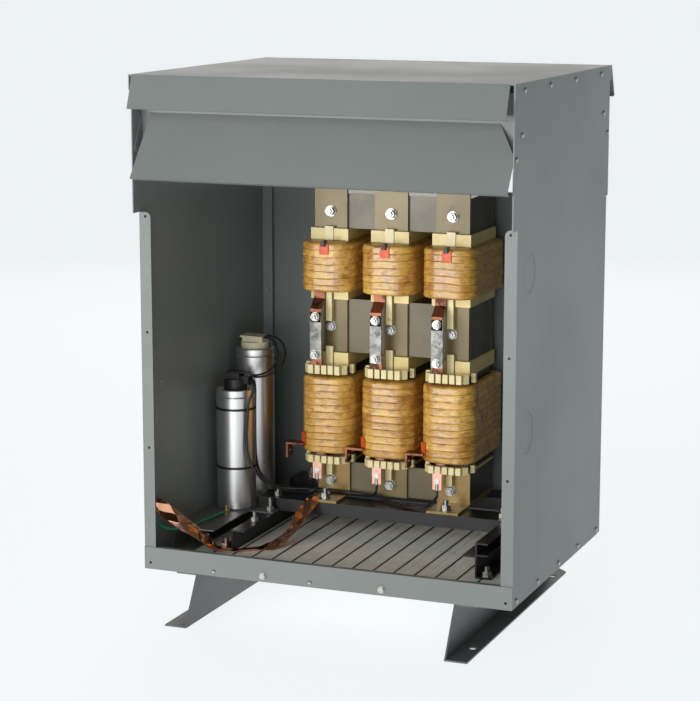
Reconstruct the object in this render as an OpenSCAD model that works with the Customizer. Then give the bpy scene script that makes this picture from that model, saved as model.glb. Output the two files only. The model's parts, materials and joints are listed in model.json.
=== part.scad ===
// Floor-standing three-phase filter cabinet: a ventilated sheet-metal enclosure with its
// front cover off, holding a stacked three-leg reactor and two cylindrical capacitors.
// Millimetres, +Z up, +X to the right, +Y to the rear. Origin: centre of the footprint,
// at the underside of the feet.

/* [Enclosure] */
// Outside width over the side panels
body_w = 704; // [700:1:720]
// Depth between the front and the rear flange planes
body_d = 534; // [534:1:550]
// Height of the sheet-metal body without its feet
body_h = 900; // [890:1:940]
// Sheet thickness of panels, hoods and cover
sheet = 2; // [1.5:0.1:2]
// Height of the sill across the front opening
sill_h = 41; // [36:1:44]
// Width of the screw flanges beside the openings
flange_w = 22; // [20:1:24]
// Height of the screw flanges above the bottom of the body
flange_h = 656; // [600:1:680]
// How far the head of a side panel stands out past the flange plane
head_reach = 25; // [20:1:26]
// Drop of the slanted lip of the roof
lip_drop = 58; // [50:1:64]
// How far the lip leans outward
lip_lean = 22; // [16:1:24]
// Depth of the rear cover in front of the rear flange
cover_d = 15; // [12:1:18]

/* [Feet] */
// Height of the two bent feet
foot_h = 88; // [80:1:100]
// Distance from the middle to the web of a foot
foot_x = 246; // [240:1:250]
// Width of the foot flanges
foot_w = 42; // [40:1:50]
// Thickness of the foot sheet
foot_t = 3; // [2.5:0.5:4]
// Diameter of the anchor holes in the feet
anchor_d = 14; // [10:0.5:16]

/* [Mounting frame] */
// Height of the two Z-shaped rails on the floor
rail_h = 41; // [38:1:45]
// Width of each rail flange
rail_w = 27; // [25:1:30]
// Height of the cross channels on the rails
channel_h = 24.5; // [22:0.5:26]
// Thickness of rails and channels
steel_t = 3; // [2.5:0.5:3]
// Height of the capacitor tray above the floor mesh
tray_rise = 46; // [44:1:50]

/* [Reactor] */
// Distance between two legs of the core
leg_pitch = 122.5; // [118:0.5:126]
// Width of a core leg and of its clamp plates
leg_w = 66; // [60:1:66]
// Stack depth of the core
core_d = 125; // [100:1:126]
// Half width of a coil
coil_half_w = 54; // [50:0.5:58]
// Height of the lower coils
low_coil_h = 148; // [140:1:148]
// Height of the upper coils
up_coil_h = 94; // [88:1:94]

/* [Capacitors] */
// Diameter of both capacitor cans
can_d = 75; // [70:1:76]
// Height of the front can
front_can_h = 234; // [200:1:240]
// Height of the rear can
rear_can_h = 298; // [250:1:310]

/* [Hidden] */
$fn = 32;

// Enclosure
half_w = body_w / 2;
inner_w = half_w - sheet;
half_d = body_d / 2;
head_y = half_d + head_reach;
roof_y = head_y + 4;
z_body = foot_h;
z_top = foot_h + body_h;
z_flange = z_body + flange_h;
lip_y = roof_y + lip_lean;
fit = 0.2;
screw_x = half_w - 12;
cover_hole_d = 6.4;
cover_z = [z_body + 12, z_body + 227, z_body + 439, z_body + 648];
hood_top = [half_d - 10, z_top - 68];
hood_low = [half_d + 46, z_top - 180];
knockout_y = -202;
knockout_z = [z_body + 299, z_body + 576.5];

// Mounting frame
z_floor = z_body + 8;
z_rail = z_floor + rail_h;
z_channel = z_rail + channel_h;
rail_x = 241;
rail_y = [-132, 232];
channel_front = 31;
channel_w = 60;
channel_rear = 190;
channel_x = 262;
rail_bolt_x = 257;
rail_bolt_y = [-121, 205];
end_bolt_x = rail_x - rail_w / 2;
z_tray = z_floor + tray_rise;
tray_x = [-inner_w + 1, -262];
tray_y = [-165, 160];

// Reactor, all heights from the top of the cross channels
core_x = -13.5;
legs = [core_x - leg_pitch, core_x, core_x + leg_pitch];
core_front = 110;
core_rear = core_front + core_d;
clamp_t = 6;
clamp_front = core_front - clamp_t;
coil_front_y = core_front - 50;
coil_rear_y = core_rear + 27;
coil_front_corner = 38;
coil_rear_corner = 22;
z_yoke = [[z_channel + 4.5, z_channel + 64.5], [z_channel + 280.5, z_channel + 383.5],
    [z_channel + 519.5, z_channel + 586.5]];
z_low_coil = z_channel + 88.5;
z_up_coil = z_channel + 401.5;
rod_z = [z_channel + 28.5, z_channel + 330.5, z_channel + 551.5];
rod_d = 10;
link_x = -17;
link_w = 23;
link_y = 66;
bar_t = 4;
link_z = [z_channel + 271, z_channel + 362];
link_bolt_z = [z_channel + 279.5, z_channel + 353];
tap_z = z_channel + 46;
input_z = z_low_coil + 17;
foot_plate_x = 8;
tag_x = 3;

// Capacitors
front_can = [-298, 16];
rear_can = [-298, 107];
z_front_can = z_tray + front_can_h;
z_rear_can = z_tray + rear_can_h;

// Routes of the wires: points on the middle of each wire
lead_d = 5;
loop_d = 4;
earth_d = 5;
lead_a_route = [[-268, 10, 392], [-258, 6, 392], [-251, 0, 384], [-254, -6, 370], [-260, -9, 350],
    [-262, -10, 320], [-264, -11, 290], [-262, -13, 262], [-254, -13, 236], [-240, -9, 214],
    [-222, 4, 196], [-204, 28, 180], [-188, 56, 171], [-170, 72, 169], [-157, 75, 176],
    [-152, 71, 187], [-152, 71, 196]];
lead_b_route = [[-276, 26, 392], [-276, 38, 391], [-276, 52, 382], [-277, 60, 366],
    [-278, 61, 335], [-278, 61, 300], [-278, 61, 262], [-276, 61, 226], [-268, 62, 200],
    [-250, 66, 182], [-226, 76, 171], [-190, 88, 169], [-150, 94, 169], [-110, 95, 169],
    [-70, 93, 169], [-45, 84, 171], [-32, 73, 180], [-29, 71, 196]];
lead_c_route = [[-284, 26, 392], [-284, 37, 390], [-284, 50, 379], [-285, 60, 362],
    [-285, 61, 335], [-285, 61, 300], [-285, 61, 262], [-283, 61, 224], [-275, 64, 196],
    [-255, 71, 178], [-230, 84, 169], [-190, 95, 169], [-140, 99, 169], [-80, 98, 168],
    [-30, 88, 167], [10, 66, 165], [46, 48, 165], [70, 46, 167], [86, 56, 174],
    [93, 69, 184], [93, 71, 196]];
loop_a_route = [[-276, 108, 462], [-262, 106, 463], [-240, 98, 457], [-224, 84, 440],
    [-222, 70, 420], [-234, 54, 403], [-252, 38, 396], [-268, 28, 396]];
loop_b_route = [[-276, 99, 460], [-262, 96, 460], [-246, 88, 452], [-236, 76, 434],
    [-238, 64, 415], [-246, 50, 404], [-257, 34, 400], [-268, 20, 401]];
earth_route = [[-348, -238, 174], [-340, -228, 160], [-328, -212, 150], [-316, -190, 148],
    [-308, -160, 147], [-303, -125, 146.5], [-297, -85, 147], [-293, -55, 146]];

// Bonding strap: points on its middle line, and the direction of its width at each
strap_w = 26;
strap_t = 1.5;
strap_points = [[-348, -234, 203], [-340, -220, 192], [-326, -202, 172], [-310, -186, 153],
    [-294, -174, 139], [-280, -164, 126], [-272, -152, 112], [-262, -138, 101],
    [-238, -128, 98], [-210, -112, 98], [-188, -90, 98.5], [-172, -72, 104],
    [-160, -52, 117], [-154, -28, 132], [-152, -4, 145], [-148, 18, 157], [-142, 40, 168]];
strap_dirs = [[0.5, 0.4, 0.8], [0.5, 0.4, 0.8], [0.45, 0.5, 0.75], [0.4, 0.6, 0.65],
    [0.25, 0.8, 0.5], [0, 0.9, 0.3], [-0.3, 1, 0.1], [-0.5, 1, 0],
    [-0.4, 1, 0], [-0.6, 0.9, 0], [-0.75, 0.7, 0], [-0.85, 0.5, 0],
    [-0.95, 0.3, 0], [-1, 0.1, 0], [-1, 0, 0], [-1, 0.1, 0], [-1, 0.1, 0]];

// Flat shapes in the Y-Z plane (thickness along X) and the X-Z plane (thickness along Y)
module plate_yz(x, t) translate([x, 0, 0]) rotate([90, 0, 90]) linear_extrude(t) children();
module plate_xz(y, t) translate([0, y + t, 0]) rotate([90, 0, 0]) linear_extrude(t) children();
module box(low, high) translate(low) cube(high - low);
module both_sides() for (side = [0, 1]) mirror([side, 0, 0]) children();
module both_ends() for (end = [0, 1]) mirror([0, end, 0]) children();

// Screws and bolts: the axis runs along +Z and the head's underside lies at z = 0
module hex_bolt(d, shank, head_h) {
    translate([0, 0, -shank]) cylinder(d = d, h = shank + head_h / 2);
    cylinder(d = 1.9 * d, h = head_h, $fn = 6);
    translate([0, 0, -1.2]) cylinder(d = 2.2 * d, h = 1.2);
}
module pan_screw(d, shank) {
    translate([0, 0, -shank]) cylinder(d = d, h = shank + 1);
    cylinder(d = 2 * d, h = 1.4);
    translate([0, 0, 1.4]) cylinder(d1 = 2 * d, d2 = 1.2 * d, h = 1.4);
}
module stud_and_nut(d, below, above) {
    translate([0, 0, -below]) cylinder(d = d, h = below + above);
    cylinder(d = 2.2 * d, h = 1.6);
    translate([0, 0, 1.6]) cylinder(d = 1.9 * d, h = 0.8 * d, $fn = 6);
}
module from_left() rotate([0, -90, 0]) children();
module from_right() rotate([0, 90, 0]) children();
module from_front() rotate([90, 0, 0]) children();
module from_rear() rotate([-90, 0, 0]) children();

// Enclosure -----------------------------------------------------------------------------
module base_pan() color("darkgray") {
    difference() {
        union() {
            box([-inner_w, -half_d - 2.2, z_body], [inner_w, half_d - 2 * sheet, z_body + sheet]);
            box([-half_w, -half_d - 2.2, z_body], [half_w, -half_d - fit, z_body + sill_h]);
            box([-inner_w + flange_w, -half_d - fit - 1, z_body + sill_h - sheet],
                [inner_w - flange_w, -half_d + 9, z_body + sill_h]);
            box([-inner_w, half_d - 2 * sheet - fit, z_body],
                [inner_w, half_d - sheet - fit, z_body + sill_h]);
            both_sides() box([inner_w - sheet, -half_d + sheet + fit, z_body],
                [inner_w, half_d - sheet - fit, z_body + 24]);
        }
        box([-298, -222, z_body - 1], [298, 222, z_body + sheet + 1]);
        both_sides() translate([screw_x, 0, cover_z[0]]) rotate([90, 0, 0])
            cylinder(d = 5, h = body_d + 20, center = true, $fn = 24);
        for (x = [-115.5, 112]) translate([x, -half_d - 4, z_body + 11]) rotate([90, 0, 0])
            cylinder(d = 6.6, h = 12, center = true, $fn = 24);
    }
}

module floor_mesh() color("silver") difference() {
    box([-310, -236, z_body + sheet], [310, 236, z_floor]);
    for (column = [-7 : 7]) for (row = [-7 : 7])
        translate([column * 40 - 17, row * 30 - 10, z_body]) cube([34, 20, 12]);
    both_sides() for (y = rail_bolt_y) translate([rail_bolt_x, y, z_body])
        cylinder(d = 11, h = 12);
}

module side_outline() polygon([[-half_d, z_body + 0.5], [half_d, z_body + 0.5],
    [half_d, z_flange], [head_y, z_flange], [head_y, z_top - sheet - fit],
    [-head_y, z_top - sheet - fit], [-head_y, z_flange], [-half_d, z_flange]]);

module flange_outline(low) {
    height = z_flange - low;
    translate([-half_w, low]) square([flange_w - 10, height]);
    translate([-half_w, low]) square([flange_w, height - 10]);
    translate([-half_w + flange_w - 10, z_flange - 10]) circle(10);
}

module left_side_panel() color("gray") difference() {
    union() {
        plate_yz(-half_w, sheet) side_outline();
        both_ends() plate_xz(-half_d, sheet) flange_outline(z_body + sheet + fit);
    }
    for (z = knockout_z) translate([-half_w - 1, knockout_y, z]) from_right()
        cylinder(d = 73, h = sheet + 2, $fn = 64);
    for (z = cover_z) translate([-screw_x, 0, z]) rotate([90, 0, 0])
        cylinder(d = 5, h = body_d + 20, center = true, $fn = 24);
}

module right_side_panel() mirror([1, 0, 0]) left_side_panel();

module knockout_slugs() color("dimgray") both_sides() for (z = knockout_z)
    translate([half_w - sheet, knockout_y, z]) from_right() {
        difference() {
            cylinder(d = 72.4, h = sheet - 0.3, $fn = 64);
            translate([0, 0, -1]) cylinder(d = 58.6, h = sheet + 2, $fn = 64);
        }
        cylinder(d = 58, h = sheet - 0.3, $fn = 64);
    }

module roof_panel() color("silver") {
    box([-half_w - sheet - fit, -roof_y, z_top - sheet],
        [half_w + sheet + fit, roof_y, z_top]);
    both_sides() difference() {
        box([half_w + fit, -roof_y, z_top - 27], [half_w + sheet + fit, roof_y, z_top - 1]);
        for (y = [-245, -99, 54, 222]) translate([half_w, y, z_top - 13]) from_right()
            cylinder(d = 5.2, h = 9, center = true, $fn = 24);
    }
    roof_lip(body_w - 12);
    mirror([0, 1, 0]) roof_lip(body_w - 3);
}

// Slanted lip of the roof with its hem, from near the left side over the given length
module roof_lip(length) plate_yz(-half_w + 5, length)
    polygon([[-roof_y, z_top], [-lip_y, z_top - lip_drop],
        [-lip_y + 9, z_top - lip_drop - 1.5], [-lip_y + 9, z_top - lip_drop + 0.5],
        [-lip_y + sheet + 0.6, z_top - lip_drop + 2.2], [-roof_y + sheet, z_top - sheet]]);

// Rain hood: a slanted plate with a hem. Its left edge slants, its right edge is cut back at
// the top, and an upright strip behind it closes the gap to the roof lip and the side panels.
module hood_front_outline() polygon([[-half_w + 5, hood_low[1] - 6], [half_w - 5, hood_low[1] - 6],
    [half_w - 2.5, hood_top[1] - 53], [half_w - 36, hood_top[1] + 1],
    [-half_w + 22, hood_top[1] + 1]]);
module rain_hood() {
    intersection() {
        plate_xz(-hood_low[0] - 10, 90) hood_front_outline();
        plate_yz(-half_w, body_w)
            polygon([[-hood_top[0], hood_top[1]], [-hood_low[0], hood_low[1]],
                [-hood_low[0] + 12, hood_low[1] - 4], [-hood_low[0] + 12, hood_low[1] - 4 + sheet],
                [-hood_low[0] + sheet + 1, hood_low[1] + sheet],
                [-hood_top[0] + sheet + 0.3, hood_top[1]]]);
    }
    box([-inner_w + fit, -hood_top[0], hood_top[1] - 3],
        [inner_w - fit, -hood_top[0] + sheet, hood_top[1] + 14]);
    both_sides() {
        box([half_w - 44, -hood_top[0], hood_top[1] - 60],
            [inner_w - fit, -hood_top[0] + sheet, hood_top[1] + 6]);
        plate_yz(inner_w - sheet - fit, sheet)
            polygon([[-hood_top[0], hood_top[1] + 6], [-hood_top[0], hood_top[1]],
                [-head_y + 4, hood_top[1] - 62], [-head_y + 16, hood_top[1] - 74],
                [-hood_top[0] + 14, hood_top[1] - 40], [-hood_top[0] + 14, hood_top[1] + 6]]);
    }
}
module front_rain_hood() color("gray") rain_hood();
module rear_rain_hood() color("gray") rotate([0, 0, 180]) rain_hood();

// Rear cover: a shallow pan screwed over the rear flanges; air leaves above it, under the hood
module rear_cover() color("gray") {
    face_y = half_d + cover_d - sheet;
    difference() {
        union() {
            box([-half_w, face_y, z_body + 2], [half_w, face_y + sheet, z_flange - 1]);
            box([-half_w, half_d + fit, z_flange - 1 - sheet], [half_w, face_y + 1, z_flange - 1]);
            both_sides() box([half_w - sheet, half_d + fit, z_body + 2],
                [half_w, face_y + 1, z_flange - 1]);
            box([-half_w, half_d + fit, z_body + 2], [half_w, face_y + 1, z_body + 2 + sheet]);
        }
        both_sides() for (z = cover_z) translate([screw_x, face_y, z]) rotate([90, 0, 0])
            cylinder(d = cover_hole_d, h = 20, center = true, $fn = 24);
    }
}

module rear_cover_screws() color("gainsboro") both_sides() for (z = cover_z)
    translate([screw_x, half_d + cover_d, z]) from_rear() pan_screw(4.8, 22);

module enclosure_screws() color("gainsboro") {
    both_sides() {
        for (y = [-247, -121, 6.5, 131, 258]) translate([half_w, y, z_body + 12])
            from_right() pan_screw(4.8, 1.9);
        for (y = [-245, -99, 54, 222]) translate([half_w + sheet + fit, y, z_top - 13])
            from_right() pan_screw(4.8, 2.1);
        both_ends() for (at = [[-half_d + 17, z_top - 87], [-half_d - 13, z_top - 125]])
            translate([half_w, at[0], at[1]]) from_right() pan_screw(4.8, 0);
    }
    for (x = [-212.5, -24.5]) translate([x, -half_d - 2.2, z_body + 8.5])
        from_front() pan_screw(3.5, 0);
}

module sill_bolts() color("gainsboro") for (x = [-115.5, 112])
    translate([x, -half_d - 2.2 - 1.2, z_body + 11]) from_front() hex_bolt(6, 12, 4);

// Feet ----------------------------------------------------------------------------------
module right_foot() color("dimgray") difference() {
    union() {
        plate_yz(foot_x, foot_t) polygon([[-half_d, foot_h], [half_d, foot_h],
            [lip_y, 0], [-lip_y, 0]]);
        box([foot_x, -half_d, foot_h - foot_t], [foot_x + foot_w, half_d, foot_h]);
        linear_extrude(foot_t) polygon([[foot_x, -lip_y], [foot_x + foot_w, -lip_y],
            [foot_x + foot_w, lip_y - 40], [foot_x, lip_y]]);
    }
    for (y = [-240, 240]) translate([foot_x + 26, y, -1])
        cylinder(d = anchor_d, h = foot_t + 2, $fn = 48);
    for (y = rail_bolt_y) translate([rail_bolt_x, y, foot_h - foot_t - 1])
        cylinder(d = 11, h = foot_t + 2);
}
module left_foot() mirror([1, 0, 0]) right_foot();

module foot_bolts() color("gainsboro") both_sides() for (y = rail_bolt_y)
    translate([rail_bolt_x, y, z_floor + steel_t]) {
        stud_and_nut(10, z_floor + steel_t - foot_h + foot_t + 8, 19);
        translate([0, 0, -(z_floor + steel_t - foot_h + foot_t) - 8])
            cylinder(d = 19, h = 7.9, $fn = 6);
    }

// Mounting frame ------------------------------------------------------------------------
module right_rail() color("black") difference() {
    union() {
        box([rail_x - steel_t, rail_y[0], z_floor], [rail_x, rail_y[1], z_rail]);
        box([rail_x - rail_w, rail_y[0], z_rail - steel_t], [rail_x, rail_y[1], z_rail]);
        box([rail_x - steel_t, rail_y[0], z_floor], [rail_x + rail_w, rail_y[1], z_floor + steel_t]);
    }
    for (y = rail_bolt_y) translate([rail_bolt_x, y, z_floor - 1]) cylinder(d = 11, h = 5);
    for (y = [-57, 16, channel_front + 24, channel_rear + 30])
        translate([end_bolt_x, y, z_rail - 5]) cylinder(d = 9, h = 7);
}
module left_rail() mirror([1, 0, 0]) right_rail();

module riser_channel() color("black") {
    low = rail_y[0] + 1;
    high = channel_front - 4;
    box([rail_x - steel_t, low, z_rail], [rail_x, high, z_channel]);
    box([rail_x - 1, low, z_channel - steel_t], [rail_x + 20, high, z_channel]);
    box([rail_x - 1, low, z_rail], [rail_x + 20, high, z_rail + steel_t]);
}

module cross_channel(y) difference() {
    box([-channel_x, y, z_rail], [channel_x, y + channel_w, z_channel]);
    box([-channel_x - 1, y + steel_t, z_rail - 1],
        [channel_x + 1, y + channel_w - steel_t, z_channel - steel_t]);
    both_sides() for (dy = [24, 30]) translate([end_bolt_x, y + dy, z_channel - 5])
        cylinder(d = 9, h = 7);
    for (leg = [legs[0], legs[2]]) translate([leg + foot_plate_x, y + 22, z_channel - 5])
        cylinder(d = 11, h = 7);
}
module front_cross_channel() color("black") cross_channel(channel_front);
module rear_cross_channel() color("black") cross_channel(channel_rear);

module frame_bolts() color("gainsboro") {
    both_sides() {
        translate([end_bolt_x, channel_front + 24, z_channel]) stud_and_nut(8, 30, 18);
        translate([end_bolt_x, channel_rear + 30, z_channel]) stud_and_nut(8, 30, 18);
    }
    translate([-end_bolt_x, -57, z_rail]) stud_and_nut(8, 10, 19);
    translate([-end_bolt_x, 16, z_rail + 3]) stud_and_nut(8, 13, 25);
    for (leg = [legs[0], legs[2]]) translate([leg + foot_plate_x, channel_front + 22, z_channel + 4.5])
        stud_and_nut(10, 16, 19);
}

// Capacitors ----------------------------------------------------------------------------
// The tray stands on a left leg and is held on the right by a strip from the left rail
module capacitor_tray() color("#3a3d3e") {
    difference() {
        union() {
            box([tray_x[0], tray_y[0], z_tray - 2.5], [tray_x[1], tray_y[1], z_tray]);
            box([tray_x[0], tray_y[0] + 10, z_floor], [tray_x[0] + 2.5, tray_y[1], z_tray]);
            box([tray_x[1] - 12, 2, z_rail], [-rail_x + rail_w - 2, 30, z_rail + 3]);
        }
        translate([-end_bolt_x, 16, z_rail - 1]) cylinder(d = 9, h = 6);
        translate([-292, -44, z_tray - 4]) cylinder(d = 6.4, h = 6);
    }
}

// Spun can with a rolled rim, a bead under it and a rounded foot
module can(height) {
    r = can_d / 2;
    rotate_extrude($fn = 64) polygon([[0, 0], [r - 3, 0], [r - 0.9, 1], [r, 3],
        [r, height - 16], [r - 1.6, height - 14], [r, height - 12], [r, height - 1.5],
        [r - 1.5, height], [r - 4, height], [r - 5, height - 4], [0, height - 4]]);
}
module front_capacitor() color("lightgray") translate([front_can[0], front_can[1], z_tray])
    can(front_can_h);
module rear_capacitor() color("lightgray") translate([rear_can[0], rear_can[1], z_tray])
    can(rear_can_h);

module front_terminal_cap() {
    color("#1c1c1e") translate([front_can[0], front_can[1], z_front_can - 4]) {
        cylinder(r = 22, h = 22);
        translate([-16, -14, 10]) cube([30, 26, 24]);
        translate([8, -8, 14]) cube([22, 18, 14]);
    }
    color("chocolate") translate([front_can[0], front_can[1], z_front_can + 30.2]) {
        translate([-14, -10, 0]) cube([42, 20, 2]);
    }
}

module rear_terminal_block() color("ivory") translate([rear_can[0], rear_can[1], z_rear_can - 4]) {
    cylinder(r = 27, h = 15);
    translate([-20, -16, 14]) cube([42, 32, 12]);
    translate([-24, -18, 24]) cube([34, 34, 3]);
}

module capacitor_ties() color("#141414") for (dz = [80, 194])
    translate([front_can[0], front_can[1], z_tray + dz]) difference() {
        cylinder(r = can_d / 2 + 1.3, h = 4.5, $fn = 64);
        translate([0, 0, -1]) cylinder(r = can_d / 2 + 0.1, h = 7, $fn = 64);
    }

// Reactor -------------------------------------------------------------------------------
module yoke(level) difference() {
    box([legs[0] - leg_w / 2, core_front, z_yoke[level][0]],
        [legs[2] + leg_w / 2, core_rear, z_yoke[level][1]]);
    for (leg = legs) translate([leg, core_front - 1, rod_z[level]]) from_rear()
        cylinder(d = rod_d + 1, h = core_d + 2);
}
module bottom_yoke() color("#4a463a") yoke(0);
module middle_yoke() color("#4a463a") yoke(1);
module top_yoke() color("#4a463a") yoke(2);

module core_legs() color("#4a463a") for (leg = legs) for (level = [0, 1])
    box([leg - leg_w / 2 + 1, core_front + 0.5, z_yoke[level][1]],
        [leg + leg_w / 2 - 1, core_rear - 0.5, z_yoke[level + 1][0]]);

// Outline of a coil, inset from its surface: a rectangle, rounder at the front than at the rear
module coil_outline(inset) {
    half = coil_half_w - inset;
    front = coil_front_y + inset;
    rear = coil_rear_y - inset;
    middle = front + coil_front_corner;
    for (side = [-1, 1]) {
        translate([side * (half - coil_front_corner), middle]) circle(coil_front_corner, $fn = 96);
        translate([side * (half - coil_rear_corner), rear - coil_rear_corner])
            circle(coil_rear_corner);
    }
    translate([-half + coil_front_corner, front])
        square([2 * (half - coil_front_corner), coil_front_corner + 1]);
    translate([-half, middle]) square([2 * half, rear - coil_rear_corner - middle]);
    translate([-half + coil_rear_corner, middle])
        square([2 * (half - coil_rear_corner), rear - middle]);
}
module coil(leg, low, height, neck) color("goldenrod") translate([legs[leg], 0, 0]) difference() {
    union() {
        translate([0, 0, low]) linear_extrude(height) coil_outline(0);
        translate([0, 0, low - neck]) linear_extrude(height + 2 * neck)
            coil_outline(5);
    }
    box([-leg_w / 2 - 1, core_front - 1, low - 20], [leg_w / 2 + 1, core_rear + 1, low + height + 20]);
}
module lower_coil_a() coil(0, z_low_coil, low_coil_h, 6);
module lower_coil_b() coil(1, z_low_coil, low_coil_h, 6);
module lower_coil_c() coil(2, z_low_coil, low_coil_h, 6);
module upper_coil_a() coil(0, z_up_coil, up_coil_h, 1.5);
module upper_coil_b() coil(1, z_up_coil, up_coil_h, 1.5);
module upper_coil_c() coil(2, z_up_coil, up_coil_h, 1.5);

// Collars between coil and yoke, a ring round the leg open in front, as [low, high]
collars = [[z_yoke[0][1], z_low_coil - 19],
    [z_low_coil + low_coil_h + 17, z_yoke[1][0]],
    [z_yoke[1][1], z_up_coil - 1.5],
    [z_up_coil + up_coil_h + 1.5, z_yoke[2][0]]];
module collar(low, high) difference() {
    box([-leg_w / 2 - 5, clamp_front - 8, low], [leg_w / 2 + 5, core_rear + 8, high]);
    box([-leg_w / 2 + 0.8, core_front + 0.3, low - 1], [leg_w / 2 - 0.8, core_rear - 0.3, high + 1]);
    box([-9, 0, low - 1], [9, clamp_front + 2, high + 1]);
}
module insulation_collars() color("lemonchiffon") for (leg = legs) translate([leg, 0, 0])
    for (c = collars) collar(c[0], c[1]);

// Sticks that hold the cooling ducts open, standing out of both ends of the lower coils: five
// along the front, and on each side one at the corner and one behind it, as [x, y, turn]
stick_places = concat([for (x = [-27 : 13.5 : 27]) [x, coil_front_y + 5, 0]],
    [for (side = [-1, 1]) each [[side * 39.5, coil_front_y + 14.5, side * 45],
        [side * (coil_half_w - 5), coil_front_y + 42, side * 90]]]);
module duct_sticks() color("cornsilk") for (leg = legs) for (place = stick_places)
    translate([leg + place[0], place[1], z_low_coil]) rotate([0, 0, place[2]]) {
        translate([-5, 0, low_coil_h + 6]) cube([10, 8, 17]);
        translate([-5, 0, -20]) cube([10, 8, 14]);
    }

// Pressure sticks on the middle line of each leg, between the collars' front blocks
module pressure_sticks() color("darkkhaki") for (leg = legs) translate([leg, 0, 0]) {
    box([-8.5, 94, collars[3][0]], [8.5, clamp_front + 1.5, z_yoke[2][0] + 4]);
    box([-6, 92, rod_z[1] + 11], [6, clamp_front - 0.2, collars[2][1]]);
    box([-7, 94, collars[1][0]], [7, clamp_front - 0.2, z_yoke[1][0] + 12]);
    box([-6, 92, rod_z[0] + 11], [6, clamp_front - 0.2, collars[0][1]]);
}

module clamp_plate(x, y, low, high, level) difference() {
    box([x - leg_w / 2, y, low], [x + leg_w / 2, y + clamp_t, high]);
    translate([x, y - 1, rod_z[level]]) from_rear() cylinder(d = rod_d + 1, h = clamp_t + 2);
}
module clamp_row(y) for (leg = legs) {
    clamp_plate(leg, y, z_yoke[1][0] + 0.5, z_yoke[1][1] - 0.5, 1);
    clamp_plate(leg, y, z_yoke[2][0] + 0.5, z_yoke[2][1] + 8, 2);
}
module front_clamp_plates() color("darkkhaki") {
    clamp_row(clamp_front);
    clamp_plate(legs[1], clamp_front, z_yoke[0][0], z_yoke[0][1] - 0.5, 0);
}
module rear_clamp_plates() color("darkkhaki") {
    clamp_row(core_rear);
    for (leg = legs) clamp_plate(leg, core_rear, z_yoke[0][0], z_yoke[0][1] - 0.5, 0);
}

module clamp_rods() color("gainsboro") for (leg = legs) for (z = rod_z)
    translate([leg, 0, z]) {
        translate([0, clamp_front - 14, 0]) from_rear()
            cylinder(d = rod_d, h = core_d + 2 * clamp_t + 26);
        translate([0, clamp_front, 0]) from_front() {
            cylinder(d = 21, h = 2);
            translate([0, 0, 2]) cylinder(d = 18, h = 8, $fn = 6);
        }
        translate([0, core_rear + clamp_t, 0]) from_rear() {
            cylinder(d = 21, h = 2);
            translate([0, 0, 2]) cylinder(d = 18, h = 8, $fn = 6);
        }
    }

// Foot plates of the outer legs: a strip under the yoke with a clamp turned up in front
module foot_plates() color("peru") for (leg = [legs[0], legs[2]]) {
    x = leg + foot_plate_x;
    difference() {
        union() {
            box([x - 31, channel_front + 1, z_channel],
                [x + 31, channel_rear + channel_w - 4, z_yoke[0][0]]);
            box([leg - 28, clamp_front, z_channel], [leg + 38, core_front, z_yoke[0][1] - 0.5]);
        }
        for (y = [channel_front + 22, channel_rear + 22]) translate([x, y, z_channel - 1])
            cylinder(d = 11, h = 8);
        translate([leg, clamp_front - 1, rod_z[0]]) from_rear() cylinder(d = rod_d + 1, h = clamp_t + 2);
    }
}

// Terminals: flat copper bars bent along a path of [y, z] points, standing on edge
module bent_bar(x, width, path) plate_yz(x - width / 2, width)
    polygon(concat(path, [for (i = [len(path) - 1 : -1 : 0]) path[i] + bar_offset(path, i)]));
function bar_turn(a, b) = [b[1] - a[1], a[0] - b[0]] / norm(b - a);
function bar_offset(path, i) = let (
        before = bar_turn(path[max(i - 1, 0)], path[max(i, 1)]),
        after = bar_turn(path[min(i, len(path) - 2)], path[min(i + 1, len(path) - 1)]))
    bar_t * (before + after) / (1 + before * after);

module link_bars() color("silver") for (leg = legs) difference() {
    box([leg + link_x - link_w / 2, link_y, link_z[0]],
        [leg + link_x + link_w / 2, link_y + bar_t, link_z[1]]);
    for (z = link_bolt_z) translate([leg + link_x, link_y - 1, z]) from_rear()
        cylinder(d = 9, h = bar_t + 2);
}
module link_bolts() color("gainsboro") for (leg = legs) for (z = link_bolt_z)
    translate([leg + link_x, link_y, z]) {
        from_front() stud_and_nut(8, 17, 12);
        translate([0, 2 * bar_t, 0]) from_rear() cylinder(d = 15, h = 5, $fn = 6);
    }
module coil_terminals() color("sienna") for (leg = legs) difference() {
    union() {
        bent_bar(leg + link_x, link_w - 1, [[90, z_up_coil - 1.5], [90, link_z[1] + 22],
            [link_y + bar_t, link_z[1] + 4], [link_y + bar_t, link_bolt_z[1] - 11]]);
        box([leg + link_x - link_w / 2 + 0.5, link_y + bar_t, z_low_coil + low_coil_h + 6],
            [leg + link_x + link_w / 2 - 0.5, link_y + 2 * bar_t, link_bolt_z[0] + 11]);
    }
    for (z = link_bolt_z) translate([leg + link_x, link_y, z]) from_rear()
        cylinder(d = 9, h = 12);
}

// Input terminals: bars that leave the lower coils to the left and turn down
module input_terminals() color("sienna") for (leg = legs) difference() {
    translate([leg, 0, 0]) {
        box([-76, 58, input_z - 4], [-40, 82, input_z]);
        box([-76, 58, input_z - 30], [-76 + bar_t, 82, input_z]);
    }
    translate([leg - coil_half_w + coil_front_corner, coil_front_y + coil_front_corner, input_z - 40])
        cylinder(r = coil_front_corner + 0.2, h = 60, $fn = 96);
    translate([leg - 78, 70, input_z - 18]) from_right() cylinder(d = 9, h = 12);
}

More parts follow.
